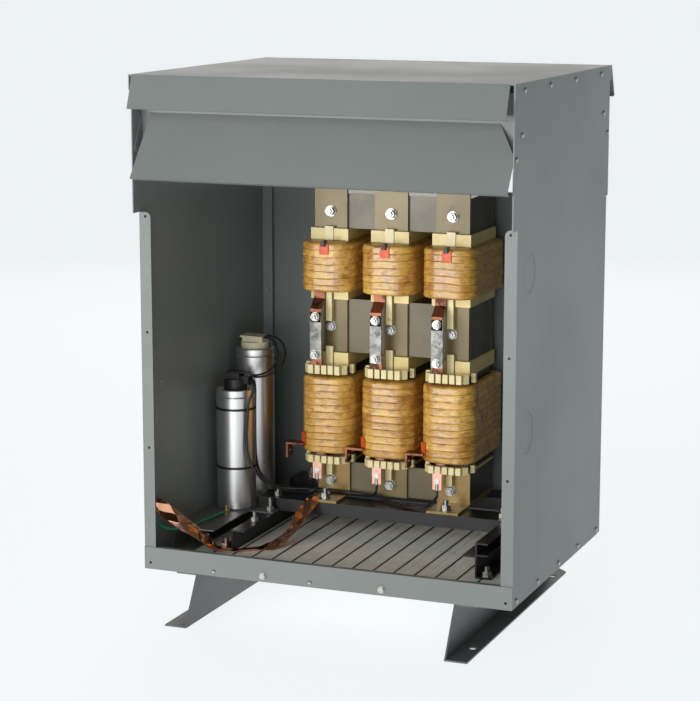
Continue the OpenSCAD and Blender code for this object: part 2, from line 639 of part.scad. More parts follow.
module tap_terminals() color("rosybrown") for (leg = legs) difference() {
    bent_bar(leg + link_x + 1, 18, [[92, z_low_coil - 6], [92, tap_z + 26],
        [74, tap_z + 26], [74, tap_z - 10]]);
    translate([leg + link_x + 1, 70, tap_z + 6]) from_rear() cylinder(d = 6.4, h = 12);
}
module tap_lugs() color("lightgray") for (leg = legs) translate([leg + link_x + 1, 74, tap_z + 6]) {
    from_front() {
        cylinder(d = 14, h = 1.6);
        translate([0, 0, -7.6]) cylinder(d = 6, h = 9);
        translate([0, 0, 1.6]) cylinder(d = 11, h = 4, $fn = 6);
    }
    translate([0, -3, -17]) cylinder(d = 7, h = 12);
}

// Coil tags, one on the front of each upper coil and one round the left corner of each lower
// coil, and the tie that holds each upper tag
module coil_tags() color("orangered") for (leg = legs) translate([leg, coil_front_y, 0]) {
    translate([tag_x - 9, -1.3, z_up_coil + up_coil_h - 22]) cube([18, 1.2, 20]);
    translate([-coil_half_w + coil_front_corner, coil_front_corner, z_low_coil + 12])
        rotate([0, 0, 221]) translate([coil_front_corner + 0.1, -9, 0]) cube([1.2, 18, 24]);
}
module coil_ties() color("#141414") for (leg = legs)
    translate([leg + tag_x, coil_front_y, z_up_coil + up_coil_h]) {
        translate([-2.5, -6, 1.7]) cube([5, 18, 3]);
        translate([-4, -7.5, -6]) cube([8, 6, 8]);
    }

// Wires: a smooth curve through the route's points, swept by a ring of eight corners
function curve_point(a, b, c, d, t) = 0.5 * (2 * b + (c - a) * t
    + (2 * a - 5 * b + 4 * c - d) * t * t + (3 * b - a - 3 * c + d) * t * t * t);
function curve(p, steps) = [for (i = [0 : len(p) - 2]) for (k = [0 : steps - 1])
        curve_point(p[max(i - 1, 0)], p[i], p[i + 1], p[min(i + 2, len(p) - 1)], k / steps),
    p[len(p) - 1]];
function unit(v) = v / norm(v);
function heading(p, i) = unit(p[min(i + 1, len(p) - 1)] - p[max(i - 1, 0)]);
function carried(p, v, i = 0) = i == len(p) ? [] :
    let (t = heading(p, i), n = unit(v - (v * t) * t)) concat([n], carried(p, n, i + 1));
module wire(route, d, start_side, steps) {
    p = curve(route, steps);
    side = carried(p, start_side);
    corners = 8;
    points = [for (i = [0 : len(p) - 1]) for (k = [0 : corners - 1])
        let (a = 360 * k / corners)
        p[i] + d / 2 * (cos(a) * side[i] + sin(a) * cross(heading(p, i), side[i]))];
    last = len(p) - 1;
    walls = [for (i = [0 : last - 1]) for (k = [0 : corners - 1])
        let (a = i * corners + k, b = i * corners + (k + 1) % corners)
        each [[a, b + corners, b], [a, a + corners, b + corners]]];
    caps = [[for (k = [0 : corners - 1]) k],
        [for (k = [corners - 1 : -1 : 0]) last * corners + k]];
    polyhedron(points, concat(walls, caps));
}
module phase_lead_a() color("#18181a") wire(lead_a_route, lead_d, [1, 0, 0], 2);
module phase_lead_b() color("#18181a") wire(lead_b_route, lead_d, [1, 0, 0], 2);
module phase_lead_c() color("#18181a") wire(lead_c_route, lead_d, [1, 0, 0], 2);
module loop_lead_a() color("#18181a") wire(loop_a_route, loop_d, [0, 0, 1], 2);
module loop_lead_b() color("#18181a") wire(loop_b_route, loop_d, [0, 0, 1], 2);
module green_earth_wire() color("seagreen") wire(earth_route, earth_d, [1, 0, 0], 2);

// Bonding strap: a flat ribbon whose width follows its own direction at each point
module bonding_strap() color("peru") {
    last = len(strap_points) - 1;
    corners = [for (i = [0 : last])
        let (t = heading(strap_points, i), w = unit(strap_dirs[i] - (strap_dirs[i] * t) * t),
            n = cross(t, w))
        each [for (c = [[1, 1], [-1, 1], [-1, -1], [1, -1]])
            strap_points[i] + c[0] * strap_w / 2 * w + c[1] * strap_t / 2 * n]];
    walls = [for (i = [0 : last - 1]) for (k = [0 : 3])
        let (a = 4 * i + k, b = 4 * i + (k + 1) % 4)
        each [[a, b + 4, b], [a, a + 4, b + 4]]];
    polyhedron(corners, concat(walls, [[0, 1, 2, 3], [for (k = [3 : -1 : 0]) 4 * last + k]]));
}

module earth_stud() color("khaki") translate([-292, -44, z_tray]) stud_and_nut(6, 10, 16);

base_pan();
floor_mesh();
left_side_panel();
right_side_panel();
knockout_slugs();
roof_panel();
front_rain_hood();
rear_rain_hood();
rear_cover();
rear_cover_screws();
enclosure_screws();
sill_bolts();
left_foot();
right_foot();
foot_bolts();
left_rail();
right_rail();
riser_channel();
front_cross_channel();
rear_cross_channel();
frame_bolts();
capacitor_tray();
front_capacitor();
rear_capacitor();
front_terminal_cap();
rear_terminal_block();
capacitor_ties();
bottom_yoke();
middle_yoke();
top_yoke();
core_legs();
lower_coil_a();
lower_coil_b();
lower_coil_c();
upper_coil_a();
upper_coil_b();
upper_coil_c();
insulation_collars();
duct_sticks();
pressure_sticks();
front_clamp_plates();
rear_clamp_plates();
clamp_rods();
foot_plates();
link_bars();
link_bolts();
coil_terminals();
input_terminals();
tap_terminals();
tap_lugs();
coil_tags();
coil_ties();
phase_lead_a();
phase_lead_b();
phase_lead_c();
loop_lead_a();
loop_lead_b();
green_earth_wire();
bonding_strap();
earth_stud();
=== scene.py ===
"""Looks of the open filter cabinet: materials for every sub-part, taped coils, expanded floor
mesh, creased copper strap and the wires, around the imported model. Metres, +Z up, +Y to the rear."""
import json
import math

import bpy
import numpy as np
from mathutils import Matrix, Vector


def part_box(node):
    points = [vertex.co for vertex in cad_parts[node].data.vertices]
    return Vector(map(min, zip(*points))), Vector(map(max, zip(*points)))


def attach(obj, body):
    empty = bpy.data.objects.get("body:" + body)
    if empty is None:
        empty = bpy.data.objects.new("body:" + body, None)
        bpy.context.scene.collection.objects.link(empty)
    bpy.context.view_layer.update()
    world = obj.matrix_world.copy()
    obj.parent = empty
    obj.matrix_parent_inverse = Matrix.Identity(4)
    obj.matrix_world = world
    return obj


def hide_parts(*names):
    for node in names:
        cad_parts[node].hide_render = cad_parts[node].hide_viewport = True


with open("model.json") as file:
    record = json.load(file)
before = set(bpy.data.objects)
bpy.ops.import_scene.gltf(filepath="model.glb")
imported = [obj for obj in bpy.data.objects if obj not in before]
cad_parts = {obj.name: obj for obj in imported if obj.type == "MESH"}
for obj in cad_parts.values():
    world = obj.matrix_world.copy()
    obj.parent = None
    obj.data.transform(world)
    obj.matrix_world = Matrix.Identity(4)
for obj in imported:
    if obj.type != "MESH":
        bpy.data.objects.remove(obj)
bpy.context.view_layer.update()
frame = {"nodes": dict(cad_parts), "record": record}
NODES = frame["nodes"]
MM = 0.001

# ---------------------------------------------------------------- camera
VIEW_AZIMUTH = math.radians(21.91)
VIEW_DROP = math.radians(10.614)
CAMERA_PLACE = (1.45825, -3.7638, 1.2274)
LENS_MM = 114.09


def place_camera():
    data = bpy.data.cameras.new("camera")
    data.sensor_fit = "HORIZONTAL"
    data.sensor_width = 36.0
    data.lens = LENS_MM
    camera = bpy.data.objects.new("camera", data)
    camera.location = CAMERA_PLACE
    camera.rotation_euler = (math.pi / 2 - VIEW_DROP, 0.0, VIEW_AZIMUTH)
    bpy.context.scene.collection.objects.link(camera)
    bpy.context.scene.camera = camera


place_camera()


# ---------------------------------------------------------------- meshes from arrays
def faces_of_grid(rows, columns, wrap_rows, wrap_columns):
    """Quads of a rows x columns grid of points; a wrapped direction joins its end to its start."""
    i = np.arange(rows if wrap_rows else rows - 1)
    j = np.arange(columns if wrap_columns else columns - 1)
    i, j = np.meshgrid(i, j, indexing="ij")
    i_next, j_next = (i + 1) % rows, (j + 1) % columns
    quads = np.stack([i * columns + j, i * columns + j_next,
                      i_next * columns + j_next, i_next * columns + j], -1)
    return quads.reshape(-1, 4)


def make_piece(name, points, faces, material, smooth=True, extra_faces=()):
    """A mesh piece from an array of points and an array of quads, riding on the cabinet."""
    mesh = bpy.data.meshes.new(name)
    all_faces = [*np.asarray(faces).tolist(), *[list(map(int, f)) for f in extra_faces]]
    mesh.from_pydata(np.asarray(points, float).reshape(-1, 3).tolist(), [], all_faces)
    mesh.polygons.foreach_set("use_smooth", np.full(len(mesh.polygons), smooth))
    mesh.materials.append(material)
    mesh.update()
    piece = bpy.data.objects.new(name, mesh)
    bpy.context.scene.collection.objects.link(piece)
    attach(piece, "root")
    return piece


def grid_piece(name, points, material, wrap_rows=False, wrap_columns=False, capped=False):
    """A piece from a grid of points; capped closes the two open ends of a tube."""
    rows, columns = points.shape[:2]
    faces = faces_of_grid(rows, columns, wrap_rows, wrap_columns)
    last = (rows - 1) * columns
    caps = [range(columns)[::-1], range(last, last + columns)] if capped else []
    return make_piece(name, points, faces, material, extra_faces=caps)


def add_attribute(piece, name, values):
    attribute = piece.data.attributes.new(name, "FLOAT", "POINT")
    attribute.data.foreach_set("value", np.asarray(values, np.float32).ravel())


def smooth_curve(points, steps):
    """Catmull-Rom curve through the points: each stretch is a cubic of its four neighbours."""
    p = np.asarray(points, float)
    a, b = np.vstack([p[:1], p[:-2]]), p[:-1]
    c, d = p[1:], np.vstack([p[2:], p[-1:]])
    t = (np.arange(steps) / steps)[None, :, None]
    a, b, c, d = (q[:, None, :] for q in (a, b, c, d))
    stretch = 0.5 * (2 * b + (c - a) * t + (2 * a - 5 * b + 4 * c - d) * t**2
                     + (3 * b - a - 3 * c + d) * t**3)
    return np.vstack([stretch.reshape(-1, p.shape[1]), p[-1:]])


def headings(line):
    step = np.gradient(line, axis=0)
    return step / np.linalg.norm(step, axis=1, keepdims=True)


def carried_frame(line, start):
    """Two directions square to the line, carried along it without twisting."""
    along = headings(line)
    side = np.zeros_like(line)
    previous = np.asarray(start, float)
    for k, t in enumerate(along):
        previous = previous - t * (previous @ t)
        previous = previous / np.linalg.norm(previous)
        side[k] = previous
    return side, np.cross(along, side)


def tube_points(line, radius, sides=16, start=(1.0, 0.0, 0.0)):
    """A circle of the given radius carried along the line."""
    side, up = carried_frame(line, start)
    turn = 2 * np.pi * np.arange(sides) / sides
    ring = side[:, None] * np.cos(turn)[None, :, None] + up[:, None] * np.sin(turn)[None, :, None]
    return line[:, None] + radius * ring


# ---------------------------------------------------------------- shader helpers
def new_material(name, colour, roughness, metallic=0.0, coat=0.0, coat_roughness=0.1):
    material = bpy.data.materials.new(name)
    material.use_nodes = True
    shader = material.node_tree.nodes["Principled BSDF"]
    shader.inputs["Base Color"].default_value = (*colour, 1.0)
    shader.inputs["Roughness"].default_value = roughness
    shader.inputs["Metallic"].default_value = metallic
    shader.inputs["Coat Weight"].default_value = coat
    shader.inputs["Coat Roughness"].default_value = coat_roughness
    return material, material.node_tree, shader


def math_node(tree, operation, a, b=None, c=None):
    node = tree.nodes.new("ShaderNodeMath")
    node.operation = operation
    for socket, value in zip(node.inputs, (a, b, c)):
        connect(tree, value, socket)
    return node.outputs[0]


def connect(tree, value, socket):
    """Links an output to the socket, or sets a plain value on it."""
    if value is None:
        return
    if isinstance(value, bpy.types.NodeSocket):
        tree.links.new(value, socket)
    elif hasattr(value, "__len__") and len(value) == 3 and socket.type == "RGBA":
        socket.default_value = (*value, 1.0)
    else:
        socket.default_value = value


def mix_colour(tree, factor, a, b):
    node = tree.nodes.new("ShaderNodeMix")
    node.data_type = "RGBA"
    connect(tree, factor, node.inputs["Factor"])
    connect(tree, a, node.inputs[6])
    connect(tree, b, node.inputs[7])
    return node.outputs[2]


def stretch_range(tree, value, low, high, to_low=0.0, to_high=1.0):
    node = tree.nodes.new("ShaderNodeMapRange")
    node.interpolation_type = "SMOOTHSTEP"
    for name, v in (("Value", value), ("From Min", low), ("From Max", high),
                    ("To Min", to_low), ("To Max", to_high)):
        connect(tree, v, node.inputs[name])
    return node.outputs[0]


def noise(tree, vector, scale, detail=3.0, roughness=0.55, distortion=0.0):
    node = tree.nodes.new("ShaderNodeTexNoise")
    for name, v in (("Vector", vector), ("Scale", scale), ("Detail", detail),
                    ("Roughness", roughness), ("Distortion", distortion)):
        connect(tree, v, node.inputs[name])
    return node.outputs[0]


def stretched(tree, vector, by):
    node = tree.nodes.new("ShaderNodeVectorMath")
    node.operation = "MULTIPLY"
    connect(tree, vector, node.inputs[0])
    connect(tree, by, node.inputs[1])
    return node.outputs[0]


def new_group(name, inputs, outputs):
    """An empty node group with named sockets: inputs are (name, type, default)."""
    group = bpy.data.node_groups.new(name, "ShaderNodeTree")
    for label, kind, value in inputs:
        socket = group.interface.new_socket(label, in_out="INPUT", socket_type=kind)
        if value is not None:
            socket.default_value = value
    for label, kind in outputs:
        group.interface.new_socket(label, in_out="OUTPUT", socket_type=kind)
    return group, group.nodes.new("NodeGroupInput"), group.nodes.new("NodeGroupOutput")


COLOUR, NUMBER, VECTOR = "NodeSocketColor", "NodeSocketFloat", "NodeSocketVector"


def tone_group():
    """Slow patches of a second tone, a fine grain and a roughness that wanders with them."""
    group, given, result = new_group(
        "tone_and_grain",
        [("Vector", VECTOR, None), ("Colour", COLOUR, None), ("Tone", COLOUR, None),
         ("Tone Scale", NUMBER, 6.0), ("Tone Amount", NUMBER, 0.5),
         ("Grain Stretch", VECTOR, (1, 1, 1)), ("Grain Scale", NUMBER, 300.0),
         ("Grain Tint", NUMBER, 0.1), ("Rough Low", NUMBER, 0.35), ("Rough High", NUMBER, 0.5)],
        [("Colour", COLOUR), ("Roughness", NUMBER), ("Height", NUMBER)])
    take = given.outputs
    patches = stretch_range(group, noise(group, take["Vector"], take["Tone Scale"], 4.0), 0.36, 0.68)
    grain = noise(group, stretched(group, take["Vector"], take["Grain Stretch"]), take["Grain Scale"], 2.0)
    toned = mix_colour(group, math_node(group, "MULTIPLY", patches, take["Tone Amount"]),
                       take["Colour"], take["Tone"])
    tint = math_node(group, "MULTIPLY", grain, take["Grain Tint"])
    shade = mix_colour(group, tint, toned, (0.0, 0.0, 0.0))
    wander = math_node(group, "ADD", math_node(group, "MULTIPLY", patches, 0.5),
                       math_node(group, "MULTIPLY", grain, 0.5))
    spread = math_node(group, "SUBTRACT", take["Rough High"], take["Rough Low"])
    rough = math_node(group, "MULTIPLY_ADD", wander, spread, take["Rough Low"])
    group.links.new(shade, result.inputs["Colour"])
    group.links.new(rough, result.inputs["Roughness"])
    group.links.new(grain, result.inputs["Height"])
    return group


def stain_group():
    """Irregular blots with soft edges: for tarnish, oil marks and spilled varnish."""
    group, given, result = new_group(
        "stain", [("Vector", VECTOR, None), ("Scale", NUMBER, 20.0), ("Share", NUMBER, 0.5)],
        [("Mask", NUMBER)])
    take = given.outputs
    blots = noise(group, take["Vector"], take["Scale"], 6.0, 0.65, 0.6)
    low = math_node(group, "SUBTRACT", 0.72, math_node(group, "MULTIPLY", take["Share"], 0.4))
    mask = stretch_range(group, blots, low, math_node(group, "ADD", low, 0.09))
    group.links.new(mask, result.inputs["Mask"])
    return group


def layers_group():
    """Thin layers stacked along Y: a grey-brown edge line for each sheet, with uneven tone."""
    group, given, result = new_group(
        "sheet_layers", [("Vector", VECTOR, None), ("Scale", NUMBER, 900.0)],
        [("Mask", NUMBER), ("Height", NUMBER)])
    take = given.outputs
    along = stretched(group, take["Vector"], (0.004, 1.0, 0.012))
    fine = noise(group, along, take["Scale"], 1.0)
    broad = noise(group, along, math_node(group, "MULTIPLY", take["Scale"], 0.12), 2.0)
    mask = math_node(group, "MULTIPLY_ADD", fine, 0.6, math_node(group, "MULTIPLY", broad, 0.5))
    group.links.new(stretch_range(group, mask, 0.35, 0.75), result.inputs["Mask"])
    group.links.new(fine, result.inputs["Height"])
    return group


GROUPS = {"tone": tone_group(), "stain": stain_group(), "layers": layers_group()}


def use_group(tree, which, **values):
    node = tree.nodes.new("ShaderNodeGroup")
    node.node_tree = GROUPS[which]
    for name, value in values.items():
        connect(tree, value, node.inputs[name.replace("_", " ")])
    return node.outputs


def object_vector(tree):
    return tree.nodes.new("ShaderNodeTexCoord").outputs["Object"]


def add_bump(tree, shader, height, strength, distance):
    node = tree.nodes.new("ShaderNodeBump")
    node.inputs["Strength"].default_value = strength
    node.inputs["Distance"].default_value = distance
    connect(tree, height, node.inputs["Height"])
    tree.links.new(node.outputs[0], shader.inputs["Normal"])


def toned_material(name, colour, tone, rough=(0.35, 0.5), tone_scale=6.0, tone_amount=0.5,
                   grain_scale=300.0, grain_stretch=(1, 1, 1), grain_tint=0.08, bump=0.15,
                   bump_depth=0.0004, metallic=0.0, coat=0.0, coat_roughness=0.1):
    """A material whose colour and roughness wander between two tones, with a fine grain."""
    material, tree, shader = new_material(name, colour, rough[0], metallic, coat, coat_roughness)
    out = use_group(tree, "tone", Vector=object_vector(tree), Colour=colour, Tone=tone,
                    Tone_Scale=tone_scale, Tone_Amount=tone_amount, Grain_Scale=grain_scale,
                    Grain_Stretch=grain_stretch, Grain_Tint=grain_tint, Rough_Low=rough[0],
                    Rough_High=rough[1])
    tree.links.new(out["Colour"], shader.inputs["Base Color"])
    tree.links.new(out["Roughness"], shader.inputs["Roughness"])
    add_bump(tree, shader, out["Height"], bump, bump_depth)
    return material


def stained_material(name, stain, share, stain_scale, stain_rough, **tones):
    """A toned material with blots of a third colour over it."""
    material = toned_material(name, **tones)
    tree = material.node_tree
    shader = tree.nodes["Principled BSDF"]
    mask = use_group(tree, "stain", Vector=object_vector(tree), Scale=stain_scale, Share=share)["Mask"]
    colour = shader.inputs["Base Color"].links[0].from_socket
    rough = shader.inputs["Roughness"].links[0].from_socket
    tree.links.new(mix_colour(tree, mask, colour, stain), shader.inputs["Base Color"])
    lifted = math_node(tree, "MULTIPLY_ADD", mask, stain_rough, rough)
    tree.links.new(lifted, shader.inputs["Roughness"])
    return material


# ---------------------------------------------------------------- materials
def grey_enamel():
    """Powder coat: a faint orange-peel skin over neutral grey-green, cloudy where handled."""
    material = toned_material("grey_enamel", (0.205, 0.226, 0.218), (0.175, 0.192, 0.186),
                              rough=(0.34, 0.46), tone_scale=2.4, tone_amount=0.55,
                              grain_scale=620.0, grain_tint=0.05, bump=0.12, bump_depth=0.0003)
    material.node_tree.nodes["Principled BSDF"].inputs["Specular IOR Level"].default_value = 0.32
    return material


def core_steel():
    """Varnished laminations: plain olive front, dark ribbed sides where the sheets end."""
    material = toned_material("core_steel", (0.135, 0.105, 0.040), (0.085, 0.066, 0.026),
                              rough=(0.36, 0.50), tone_scale=14.0, tone_amount=0.6,
                              grain_scale=260.0, grain_tint=0.12, bump=0.15, coat=0.35,
                              coat_roughness=0.2)
    tree = material.node_tree
    shader = tree.nodes["Principled BSDF"]
    out = use_group(tree, "layers", Vector=object_vector(tree))
    facing = tree.nodes.new("ShaderNodeNewGeometry").outputs["Normal"]
    parts = tree.nodes.new("ShaderNodeSeparateXYZ")
    tree.links.new(facing, parts.inputs[0])
    front = stretch_range(tree, math_node(tree, "ABSOLUTE", parts.outputs["Y"]), 0.3, 0.7)
    base = shader.inputs["Base Color"].links[0].from_socket
    ends = mix_colour(tree, out["Mask"], (0.010, 0.0095, 0.008), (0.055, 0.047, 0.034))
    tree.links.new(mix_colour(tree, front, ends, base), shader.inputs["Base Color"])
    add_bump(tree, shader, out["Height"], 0.4, 0.0006)
    return material


def coil_tape():
    """Varnish-soaked cotton tape: each turn has its own amber, darker at its overlapped edge; pale streaks
    along the tape are a painted highlight, the sheen of the coat.
    """
    material, tree, shader = new_material("coil_tape", (0.55, 0.27, 0.06), 0.4, coat=0.35,
                                          coat_roughness=0.12)
    turn = tree.nodes.new("ShaderNodeAttribute")
    turn.attribute_name = "turn"
    count = turn.outputs["Fac"]
    vector = object_vector(tree)
    own = tree.nodes.new("ShaderNodeTexWhiteNoise")
    own.noise_dimensions = "1D"
    connect(tree, math_node(tree, "FLOOR", count), own.inputs["W"])
    across = math_node(tree, "FRACT", count)
    edge = stretch_range(tree, across, 0.16, 0.0)
    soaked = noise(tree, vector, 26.0, 5.0, 0.6, 0.4)
    streak_relief_and_sheen = noise(tree, stretched(tree, vector, (0.25, 0.25, 3.0)), 260.0, 3.0)
    threads = noise(tree, stretched(tree, vector, (1.0, 1.0, 0.12)), 900.0, 1.0)
    amber = mix_colour(tree, own.outputs["Value"], (0.58, 0.29, 0.042), (0.78, 0.46, 0.095))
    amber = mix_colour(tree, stretch_range(tree, soaked, 0.42, 0.74), amber, (0.40, 0.15, 0.02))
    blotch = noise(tree, stretched(tree, vector, (1.0, 1.0, 1.8)), 60.0, 4.0, 0.65)
    amber = mix_colour(tree, stretch_range(tree, blotch, 0.46, 0.68, 0.0, 0.75), amber, (0.30, 0.13, 0.022))
    # pale gold streaks along the tape: painted highlight, the coat's sheen; the same streaks also give the
    # bump
    amber = mix_colour(tree, stretch_range(tree, streak_relief_and_sheen, 0.50, 0.72, 0.0, 0.6), amber, (0.93, 0.69, 0.26))
    amber = mix_colour(tree, stretch_range(tree, threads, 0.55, 0.75, 0.0, 0.3), amber, (0.36, 0.15, 0.03))
    worn = stretch_range(tree, noise(tree, vector, 40.0, 2.0), 0.35, 0.62, 0.25, 0.95)
    amber = mix_colour(tree, math_node(tree, "MULTIPLY", edge, worn), amber, (0.13, 0.045, 0.008))
    tree.links.new(amber, shader.inputs["Base Color"])
    tree.links.new(stretch_range(tree, soaked, 0.35, 0.7, 0.52, 0.26), shader.inputs["Roughness"])
    height = math_node(tree, "ADD", math_node(tree, "MULTIPLY", streak_relief_and_sheen, 0.7),
                       math_node(tree, "MULTIPLY", threads, 0.4))
    add_bump(tree, shader, height, 0.35, 0.0006)
    return material


def can_aluminium():
    """Drawn aluminium with a fine grain up the can and dull finger marks."""
    return stained_material(
        "can_aluminium", stain=(0.52, 0.50, 0.47), share=0.25, stain_scale=18.0, stain_rough=0.10,
        colour=(0.86, 0.86, 0.855), tone=(0.74, 0.735, 0.72), rough=(0.28, 0.40), tone_scale=9.0,
        tone_amount=0.5, grain_scale=420.0, grain_stretch=(1, 1, 0.04), grain_tint=0.12, bump=0.25,
        bump_depth=0.0002, metallic=1.0)


MATERIALS = {
    "grey_enamel": grey_enamel(),
    "foot_enamel": toned_material("foot_enamel", (0.105, 0.115, 0.113), (0.085, 0.092, 0.09),
                                  rough=(0.34, 0.48), tone_scale=3.0, grain_scale=620.0),
    "black_enamel": stained_material(
        "black_enamel", stain=(0.030, 0.029, 0.028), share=0.3, stain_scale=14.0, stain_rough=0.15,
        colour=(0.008, 0.008, 0.009), tone=(0.013, 0.013, 0.014), rough=(0.32, 0.46),
        tone_scale=5.0, grain_scale=500.0),
    "galvanised_mesh": toned_material("galvanised_mesh", (0.84, 0.83, 0.76), (0.66, 0.65, 0.58),
                                      rough=(0.36, 0.52), tone_scale=30.0, grain_scale=900.0),
    # near-black bars: painted shade, the dark shadow lines at the floor mesh's knuckles
    "knuckle_shade_bar": toned_material("knuckle_shade_bar", (0.030, 0.030, 0.031), (0.05, 0.05, 0.048),
                               rough=(0.4, 0.55), tone_scale=30.0, grain_scale=900.0),
    "zinc_hardware": stained_material(
        "zinc_hardware", stain=(0.34, 0.32, 0.26), share=0.4, stain_scale=120.0, stain_rough=0.12,
        colour=(0.48, 0.48, 0.46), tone=(0.32, 0.32, 0.31), rough=(0.28, 0.42), tone_scale=60.0,
        grain_scale=1500.0, metallic=1.0),
    "tray_sheet": toned_material("tray_sheet", (0.14, 0.145, 0.142), (0.10, 0.105, 0.10),
                                 rough=(0.28, 0.42), tone_scale=6.0, grain_scale=600.0),
    "can_aluminium": can_aluminium(),
    "cap_black": toned_material("cap_black", (0.012, 0.012, 0.013), (0.022, 0.022, 0.022),
                                rough=(0.38, 0.55), tone_scale=30.0, grain_scale=900.0),
    "block_cream": toned_material("block_cream", (0.72, 0.66, 0.47), (0.62, 0.54, 0.34),
                                  rough=(0.30, 0.45), tone_scale=25.0, grain_scale=700.0),
    "tie_black": toned_material("tie_black", (0.010, 0.010, 0.010), (0.02, 0.018, 0.016),
                                rough=(0.35, 0.5), tone_scale=40.0, grain_scale=900.0),
    "core_steel": core_steel(),
    "coil_tape": coil_tape(),
    "collar_board": stained_material(
        "collar_board", stain=(0.64, 0.42, 0.14), share=0.26, stain_scale=34.0, stain_rough=-0.08,
        colour=(0.84, 0.68, 0.26), tone=(0.66, 0.49, 0.14), rough=(0.30, 0.48), tone_scale=22.0,
        grain_scale=500.0, grain_stretch=(0.3, 0.3, 2.0), grain_tint=0.10, coat=0.3,
        coat_roughness=0.15),
    "stick_board": stained_material(
        "stick_board", stain=(0.58, 0.38, 0.12), share=0.22, stain_scale=60.0, stain_rough=-0.06,
        colour=(0.86, 0.75, 0.40), tone=(0.70, 0.57, 0.25), rough=(0.28, 0.45), tone_scale=40.0,
        grain_scale=600.0, grain_stretch=(1.5, 1.5, 0.2), coat=0.35, coat_roughness=0.12),
    "clamp_steel": stained_material(
        "clamp_steel", stain=(0.085, 0.058, 0.022), share=0.3, stain_scale=11.0, stain_rough=0.05,
        colour=(0.185, 0.135, 0.045), tone=(0.11, 0.080, 0.028), rough=(0.34, 0.48), tone_scale=7.0,
        grain_scale=260.0, grain_stretch=(1.0, 1.0, 0.5), metallic=0.2, coat=0.3,
        coat_roughness=0.22),
    "foot_bronze": stained_material(
        "foot_bronze", stain=(0.16, 0.09, 0.03), share=0.35, stain_scale=20.0, stain_rough=0.06,
        colour=(0.34, 0.225, 0.075), tone=(0.20, 0.13, 0.045), rough=(0.28, 0.42), tone_scale=14.0,
        grain_scale=300.0, metallic=0.4, coat=0.4, coat_roughness=0.16),
    "tinned_bar": stained_material(
        "tinned_bar", stain=(0.20, 0.195, 0.18), share=0.55, stain_scale=70.0, stain_rough=0.18,
        colour=(0.34, 0.34, 0.32), tone=(0.20, 0.20, 0.19), rough=(0.36, 0.52), tone_scale=45.0,
        tone_amount=0.8, grain_scale=350.0, grain_tint=0.2, bump=0.4, metallic=0.7),
    "copper_bar": stained_material(
        "copper_bar", stain=(0.075, 0.028, 0.017), share=0.6, stain_scale=32.0, stain_rough=0.12,
        colour=(0.30, 0.115, 0.065), tone=(0.17, 0.06, 0.035), rough=(0.30, 0.44), tone_scale=20.0,
        grain_scale=400.0, metallic=0.75),
    "tap_copper": stained_material(
        "tap_copper", stain=(0.55, 0.26, 0.19), share=0.4, stain_scale=60.0, stain_rough=0.12,
        colour=(0.86, 0.50, 0.40), tone=(0.74, 0.38, 0.28), rough=(0.30, 0.46), tone_scale=40.0,
        grain_scale=500.0, metallic=0.6),
    "tinned_lug": toned_material("tinned_lug", (0.82, 0.82, 0.80), (0.66, 0.66, 0.64),
                                 rough=(0.22, 0.36), tone_scale=80.0, grain_scale=900.0, metallic=0.9),
    "tag_orange": toned_material("tag_orange", (0.86, 0.115, 0.022), (0.74, 0.075, 0.018),
                                 rough=(0.34, 0.5), tone_scale=60.0, grain_scale=900.0, grain_tint=0.05),
    "lead_black": toned_material("lead_black", (0.011, 0.011, 0.012), (0.022, 0.022, 0.023),
                                 rough=(0.34, 0.48), tone_scale=40.0, grain_scale=1200.0),
    "earth_green": toned_material("earth_green", (0.008, 0.235, 0.115), (0.006, 0.17, 0.08),
                                  rough=(0.28, 0.40), tone_scale=40.0, grain_scale=1200.0,
                                  grain_tint=0.06),
    "copper_strap": stained_material(
        "copper_strap", stain=(0.42, 0.145, 0.07), share=0.30, stain_scale=26.0, stain_rough=0.10,
        colour=(0.93, 0.47, 0.30), tone=(0.82, 0.34, 0.19), rough=(0.13, 0.26), tone_scale=18.0,
        grain_scale=240.0, grain_tint=0.08, metallic=1.0),
    "earth_brass": toned_material("earth_brass", (0.72, 0.58, 0.25), (0.55, 0.42, 0.16),
                                  rough=(0.24, 0.38), tone_scale=80.0, grain_scale=900.0,
                                  metallic=0.95),
}


def dress_nodes():
    """Each packed sub-part takes the material of its own slot."""
    for entry in frame["record"]["subparts"]:
        node = NODES[entry["node"]]
        material = MATERIALS[entry["material_slot"]]
        if not node.material_slots:
            node.data.materials.append(material)
        for place in node.material_slots:
            place.material = material


